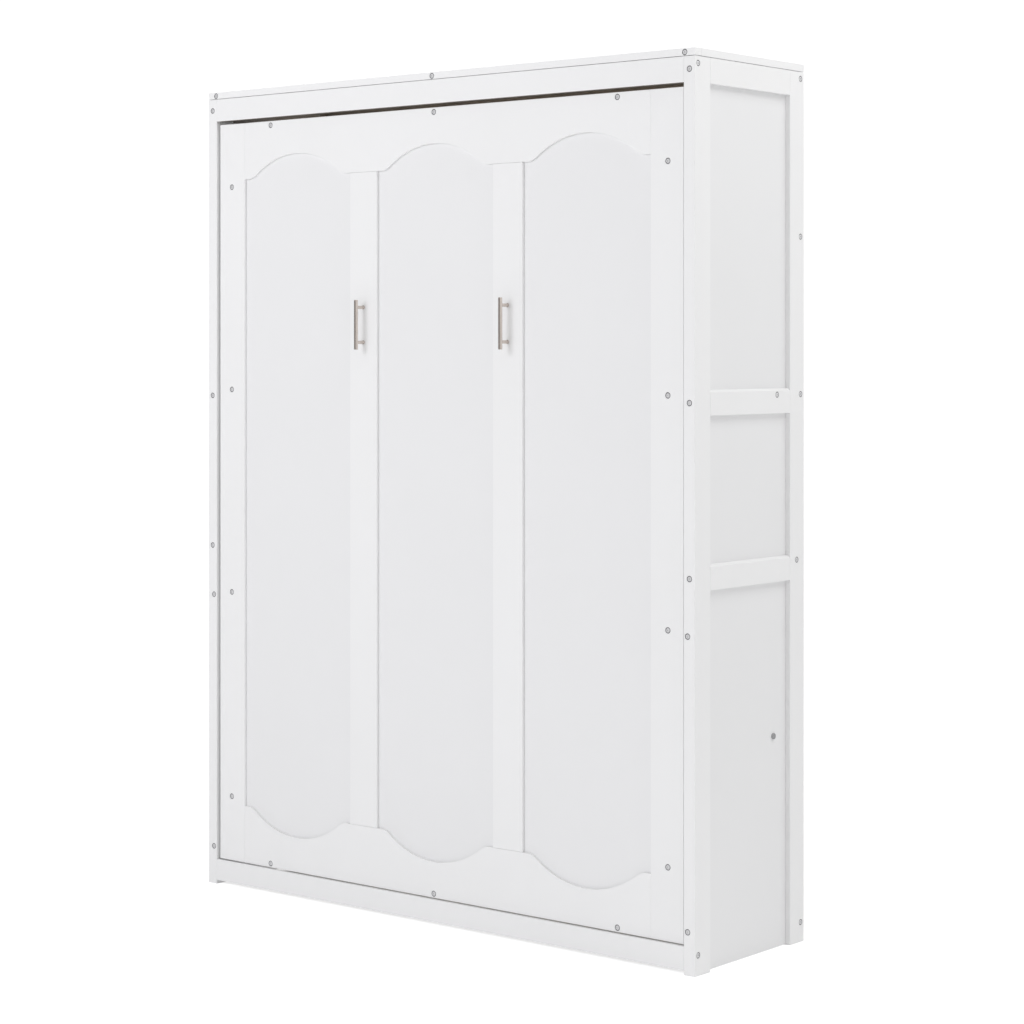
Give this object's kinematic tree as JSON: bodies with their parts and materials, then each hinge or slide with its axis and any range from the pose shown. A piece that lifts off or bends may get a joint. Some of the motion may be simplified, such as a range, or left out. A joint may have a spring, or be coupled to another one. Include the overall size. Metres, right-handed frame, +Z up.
{
  "type": "wall bed",
  "caption": "Upright cabinet wall bed: an arched panelled bed front on a slatted frame that hinges down on gas struts and stands on a tube leg.",
  "frame": {"origin": "on the floor, under the middle of the whole object's box, handles included", "axes": "+X to the right seen from the front, +Y to the wall, +Z up; the bed front faces -Y"},
  "size_m": [1.722, 0.5184, 2.286],
  "materials": {
    "white_paint": "satin white paint over wood",
    "pine": "planed pine, unpainted",
    "raw_fibreboard": "raw fibreboard, unpainted",
    "plated_steel": "zinc-plated steel plate",
    "screw_steel": "pale plated steel",
    "brushed_nickel": "brushed nickel",
    "powder_coat": "grey powder coat",
    "black_rubber": "matt",
    "black_cylinder": "gloss black paint",
    "polished_rod": "ground and polished"
  },
  "bodies": {
    "cabinet": {"left_front_post": "white_paint", "right_front_post": "white_paint", "left_rear_post": "white_paint", "right_rear_post": "white_paint", "header_rail": "white_paint", "base_rail": "white_paint", "cap_strip": "white_paint", "cap_board": "white_paint", "left_top_side_rail": "white_paint", "left_upper_side_rail": "white_paint", "left_lower_side_rail": "white_paint", "right_top_side_rail": "white_paint", "right_upper_side_rail": "white_paint", "right_lower_side_rail": "white_paint", "left_upper_side_panel": "white_paint", "left_middle_side_panel": "white_paint", "left_side_board": "white_paint", "right_upper_side_panel": "white_paint", "right_middle_side_panel": "white_paint", "right_side_board": "white_paint", "rear_top_rail": "raw_fibreboard", "rear_upper_rail": "raw_fibreboard", "rear_shelf": "white_paint", "rear_lower_rail": "raw_fibreboard", "rear_bottom_rail": "raw_fibreboard", "closing_stops": "white_paint", "left_pivot_plate": "plated_steel", "right_pivot_plate": "plated_steel", "left_strut_anchor": "plated_steel", "right_strut_anchor": "plated_steel", "plate_screws": "screw_steel", "cabinet_screws": "screw_steel"},
    "bed": {"left_stile": "white_paint", "right_stile": "white_paint", "top_arch_rail": "white_paint", "bottom_arch_rail": "white_paint", "left_mullion": "white_paint", "right_mullion": "white_paint", "left_front_sheet": "white_paint", "centre_front_sheet": "white_paint", "right_front_sheet": "white_paint", "left_bed_rail": "white_paint", "right_bed_rail": "white_paint", "head_rail": "white_paint", "foot_rail": "white_paint", "slat_cleats": "pine", "centre_beam": "pine", "slats": "pine", "left_hinge_arm": "plated_steel", "right_hinge_arm": "plated_steel", "bed_bolts": "screw_steel", "left_handle": "brushed_nickel", "right_handle": "brushed_nickel", "front_screws": "screw_steel"},
    "leg": {"leg_frame": "powder_coat", "leg_feet": "black_rubber"},
    "left_cylinder": {"left_strut_cylinder": "black_cylinder"},
    "left_rod": {"left_strut_rod": "polished_rod"},
    "right_cylinder": {"right_strut_cylinder": "black_cylinder"},
    "right_rod": {"right_strut_rod": "polished_rod"}
  },
  "joints": [
    {"name": "bed_hinge", "type": "hinge", "parent": "cabinet", "child": "bed", "pos_m": [0, -0.02975, 0.31], "axis": [1, 0, 0], "range_deg": [0, 90]},
    {"name": "leg_swing", "type": "hinge", "parent": "bed", "child": "leg", "pos_m": [0, -0.10275, 2.11], "axis": [1, 0, 0], "range_deg": [0, 180]},
    {"name": "left_strut_swing", "type": "hinge", "parent": "cabinet", "child": "left_cylinder", "pos_m": [-0.803, 0.13425, 0.548], "axis": [1, 0, 0], "range_deg": [0, 22.8]},
    {"name": "left_rod_slide", "type": "slide", "parent": "left_cylinder", "child": "left_rod", "axis": [0, 0.442, 0.897], "range_m": [0, 0.166]},
    {"name": "right_strut_swing", "type": "hinge", "parent": "cabinet", "child": "right_cylinder", "pos_m": [0.803, 0.13425, 0.548], "axis": [1, 0, 0], "range_deg": [0, 22.8]},
    {"name": "right_rod_slide", "type": "slide", "parent": "right_cylinder", "child": "right_rod", "axis": [0, 0.442, 0.897], "range_m": [0, 0.166]}
  ],
  "couplings": [
    {"joint": "leg_swing", "follows": "bed_hinge", "ratio": 2},
    {"joint": "left_strut_swing", "follows": "bed_hinge", "ratio": 0.25224},
    {"joint": "left_rod_slide", "follows": "bed_hinge", "m_per_rad": 0.10533},
    {"joint": "right_strut_swing", "follows": "bed_hinge", "ratio": 0.25224},
    {"joint": "right_rod_slide", "follows": "bed_hinge", "m_per_rad": 0.10533}
  ]
}
